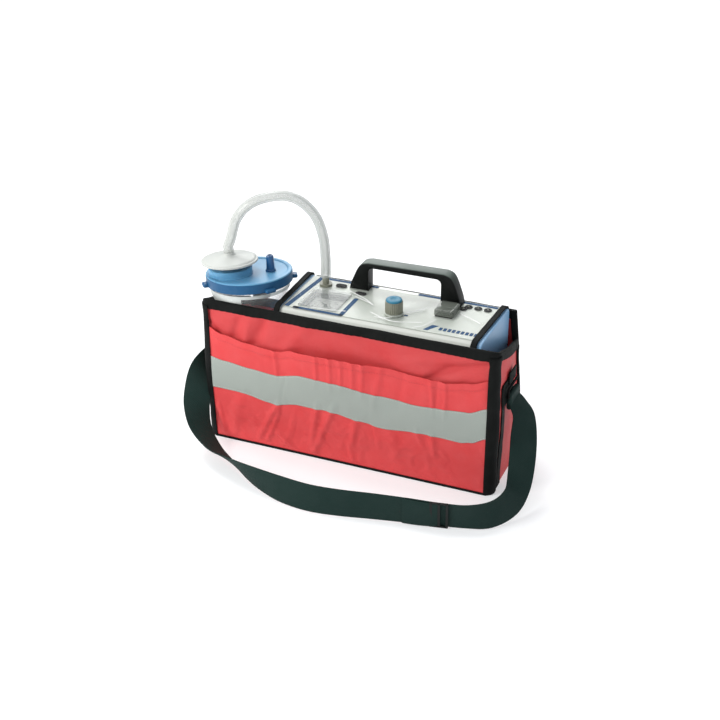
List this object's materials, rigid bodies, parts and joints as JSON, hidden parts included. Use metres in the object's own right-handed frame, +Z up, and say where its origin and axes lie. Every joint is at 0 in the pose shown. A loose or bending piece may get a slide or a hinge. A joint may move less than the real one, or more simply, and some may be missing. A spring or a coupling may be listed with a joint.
{
  "type": "portable suction pump",
  "caption": "Portable medical suction pump in a red padded carry bag, with a collection jar, bacteria filter, vacuum gauge, regulator knob, carry handle and shoulder strap.",
  "frame": {"origin": "bottom centre of the object's box without the strap and hose, on the floor", "axes": "+X along the bag's long side, away from the canister; +Y from the bag's front pocket to its back; +Z up"},
  "size_m": [0.519, 0.2744, 0.3559],
  "materials": {
    "red_fabric": "coated woven nylon, satin",
    "black_tape": "woven binding tape",
    "webbing": "woven polyester webbing",
    "reflective_tape": "grey reflective tape",
    "clear_film": "clear flexible film",
    "case_white": "moulded",
    "case_blue": "moulded",
    "label_grey": "printed label",
    "black_plastic": "moulded",
    "rubber": "moulded",
    "lid_blue": "moulded",
    "spigot_blue": "moulded",
    "clear_plastic": "clear polycarbonate",
    "filter_white": "translucent moulded plastic",
    "hose_clear": "translucent silicone",
    "knob_grey": "moulded",
    "cap_blue": "moulded",
    "smoke_cover": "tinted clear plastic",
    "steel": "zinc plated",
    "brass": "turned",
    "board_green": "solder mask",
    "battery_grey": "shrink wrap",
    "white_dial": "printed",
    "needle_dark": "painted"
  },
  "bodies": {
    "root": {"bag_body": "red_fabric", "rim_binding": "black_tape", "corner_binding_left": "black_tape", "corner_binding_right": "black_tape", "front_pocket": "red_fabric", "reflective_band": "reflective_tape", "bay_divider": "red_fabric", "window_film": "clear_film", "film_binding_left": "black_tape", "film_binding_right": "black_tape", "anchor_webbing_left": "webbing", "anchor_webbing_right": "webbing", "strap_ring_left": "steel", "strap_ring_right": "steel", "shoulder_strap": "webbing", "strap_slider": "black_plastic", "case_sleeve": "case_white", "panel_label": "label_grey", "end_cap_left": "case_blue", "end_cap_right": "case_blue", "foot_front": "rubber", "foot_back": "rubber", "carry_handle": "black_plastic", "handle_screw_left": "steel", "handle_screw_right": "steel", "gauge_housing": "black_plastic", "gauge_dial": "white_dial", "gauge_lens": "clear_plastic", "vacuum_port": "brass", "regulator_valve": "brass", "switch_body": "black_plastic", "switch_cover": "smoke_cover", "indicator_block": "black_plastic", "charge_socket": "rubber", "fuse_holder": "black_plastic", "battery": "battery_grey", "battery_strap": "steel", "circuit_board": "board_green", "motor_can": "steel", "pump_bracket": "steel", "diaphragm": "rubber", "pump_head": "case_white", "exhaust_silencer": "brass", "suction_tube": "hose_clear"},
    "knob": {"regulator_knob": "knob_grey", "knob_cap": "cap_blue"},
    "rocker": {"switch_rocker": "black_plastic"},
    "needle": {"gauge_needle": "needle_dark"},
    "rotor": {"motor_rotor": "steel"},
    "rod": {"con_rod": "case_white"},
    "jar": {"jar": "clear_plastic"},
    "lid": {"jar_lid": "lid_blue", "lid_seal": "rubber", "patient_port": "spigot_blue", "float_cage": "case_white"},
    "float": {"float_ball": "spigot_blue"},
    "filter": {"filter_lower": "filter_white", "filter_membrane": "white_dial", "filter_upper": "filter_white", "vacuum_hose": "hose_clear"}
  },
  "joints": [
    {"name": "knob_turn", "type": "hinge", "parent": "root", "child": "knob", "pos_m": [0.0562, -0.0166, 0.22], "axis": [0, 0, 1], "range_deg": [0, 270]},
    {"name": "rocker_tilt", "type": "hinge", "parent": "root", "child": "rocker", "pos_m": [0.1202, 0.0134, 0.2151], "axis": [1, 0, 0], "range_deg": [0, 17]},
    {"name": "needle_swing", "type": "hinge", "parent": "root", "child": "needle", "pos_m": [-0.0458, -0.0121, 0.2088], "axis": [0, 0, -1], "range_deg": [0, 95], "stiffness_Nm_per_rad": 0.00002},
    {"name": "rotor_spin", "type": "hinge", "parent": "root", "child": "rotor", "pos_m": [0.0072, 0.0029, 0.115], "axis": [1, 0, 0], "continuous": true},
    {"name": "rod_orbit", "type": "hinge", "parent": "rotor", "child": "rod", "pos_m": [-0.0178, 0.0029, 0.1165], "axis": [1, 0, 0], "continuous": true, "deforming": ["diaphragm"]},
    {"name": "jar_lift", "type": "slide", "parent": "root", "child": "jar", "axis": [-0.0733, 0.0612, 0.9954], "range_m": [0, 0.25]},
    {"name": "lid_lift", "type": "slide", "parent": "jar", "child": "lid", "axis": [-0.0733, 0.0612, 0.9954], "range_m": [0, 0.08]},
    {"name": "filter_lift", "type": "slide", "parent": "lid", "child": "filter", "axis": [-0.0733, 0.0612, 0.9954], "range_m": [0, 0.04]},
    {"name": "float_rise", "type": "slide", "parent": "lid", "child": "float", "axis": [-0.0733, 0.0612, 0.9954], "range_m": [0, 0.023]}
  ],
  "couplings": [
    {"joint": "rod_orbit", "follows": "rotor_spin", "ratio": -1}
  ]
}
